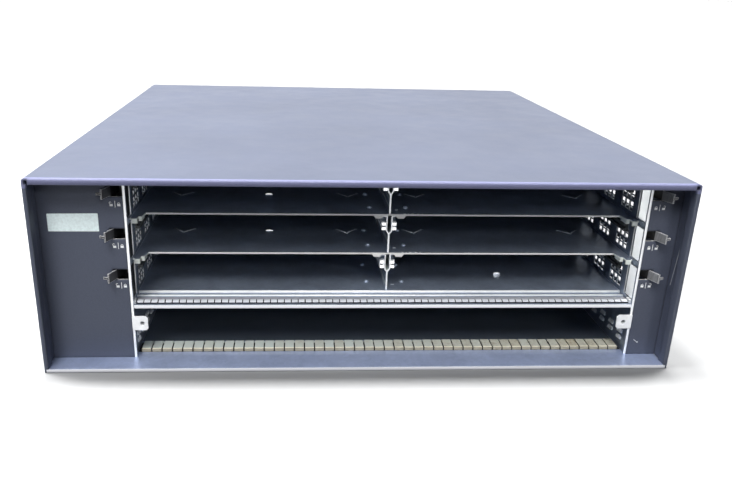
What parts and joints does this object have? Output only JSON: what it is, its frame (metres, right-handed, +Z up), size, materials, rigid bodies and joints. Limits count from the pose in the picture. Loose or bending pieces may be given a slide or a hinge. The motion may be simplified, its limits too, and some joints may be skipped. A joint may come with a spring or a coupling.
{
  "type": "router chassis",
  "caption": "Rack-wide modular network router chassis, empty, with open card bays at the front behind turning latch levers and supply bays at the back.",
  "frame": {"origin": "middle of the footprint, on the surface it stands on", "axes": "+X to the right seen from the front, +Y from the front to the back, +Z up"},
  "size_m": [0.4266, 0.4318, 0.1333],
  "materials": {
    "case_paint": "purple-grey powder coat",
    "panel_paint": "purple-grey powder coat",
    "zinc": "zinc plated",
    "bright_steel": "bright nickel plated",
    "lever_metal": "satin nickel plated",
    "guide_plastic": "matte white",
    "spring_gold": "tarnished spring bronze",
    "spring_tin": "tin plated spring bronze",
    "board": "green solder mask",
    "connector_plastic": "black moulded",
    "fan_plastic": "black moulded"
  },
  "bodies": {
    "chassis": {"base_pan": "zinc", "bay_connectors": "connector_plastic", "cage_top_plate": "zinc", "cage_wall_left": "zinc", "cage_wall_right": "zinc", "card_guides_divider": "guide_plastic", "card_guides_left": "guide_plastic", "card_guides_right": "guide_plastic", "divider_lower": "zinc", "divider_middle": "zinc", "divider_upper": "zinc", "fan_frame_front": "fan_plastic", "fan_frame_rear": "fan_plastic", "fan_tray": "zinc", "front_panel_left": "panel_paint", "front_panel_right": "panel_paint", "gasket_strip_lower": "spring_gold", "gasket_strip_upper": "spring_tin", "io_bay_lintel": "zinc", "io_connector": "connector_plastic", "io_screw_tab_left": "bright_steel", "io_screw_tab_right": "bright_steel", "lever_brackets_left": "zinc", "lever_brackets_right": "zinc", "lever_pins": "bright_steel", "midplane_board": "board", "outer_cover": "case_paint", "processor_connector": "connector_plastic", "rear_panel": "case_paint", "rear_shelf": "zinc", "shelf_lower": "zinc", "shelf_middle": "zinc", "shelf_upper": "zinc", "supply_connectors": "connector_plastic", "supply_partition": "zinc"},
    "left_lower_lever": {"lever_left_lower": "lever_metal"},
    "left_middle_lever": {"lever_left_middle": "lever_metal"},
    "left_upper_lever": {"lever_left_upper": "lever_metal"},
    "right_lower_lever": {"lever_right_lower": "lever_metal"},
    "right_middle_lever": {"lever_right_middle": "lever_metal"},
    "right_upper_lever": {"lever_right_upper": "lever_metal"},
    "front_rotor": {"fan_rotor_front": "fan_plastic"},
    "rear_rotor": {"fan_rotor_rear": "fan_plastic"}
  },
  "joints": [
    {"name": "lever_left_lower_turn", "type": "hinge", "parent": "chassis", "child": "left_lower_lever", "pos_m": [-0.16125, -0.1874, 0.06405], "axis": [0, 0, 1], "range_deg": [0, 22]},
    {"name": "lever_left_middle_turn", "type": "hinge", "parent": "chassis", "child": "left_middle_lever", "pos_m": [-0.16125, -0.1874, 0.09255], "axis": [0, 0, 1], "range_deg": [0, 22]},
    {"name": "lever_left_upper_turn", "type": "hinge", "parent": "chassis", "child": "left_upper_lever", "pos_m": [-0.16125, -0.1874, 0.12105], "axis": [0, 0, 1], "range_deg": [0, 22]},
    {"name": "lever_right_lower_turn", "type": "hinge", "parent": "chassis", "child": "right_lower_lever", "pos_m": [0.19345, -0.1874, 0.06405], "axis": [0, 0, -1], "range_deg": [0, 22]},
    {"name": "lever_right_middle_turn", "type": "hinge", "parent": "chassis", "child": "right_middle_lever", "pos_m": [0.19345, -0.1874, 0.09255], "axis": [0, 0, -1], "range_deg": [0, 22]},
    {"name": "lever_right_upper_turn", "type": "hinge", "parent": "chassis", "child": "right_upper_lever", "pos_m": [0.19345, -0.1874, 0.12105], "axis": [0, 0, -1], "range_deg": [0, 22]},
    {"name": "fan_front_spin", "type": "hinge", "parent": "chassis", "child": "front_rotor", "pos_m": [-0.17705, -0.1094, 0.0684], "axis": [1, 0, 0], "continuous": true},
    {"name": "fan_rear_spin", "type": "hinge", "parent": "chassis", "child": "rear_rotor", "pos_m": [-0.17705, -0.0274, 0.0684], "axis": [1, 0, 0], "continuous": true}
  ]
}
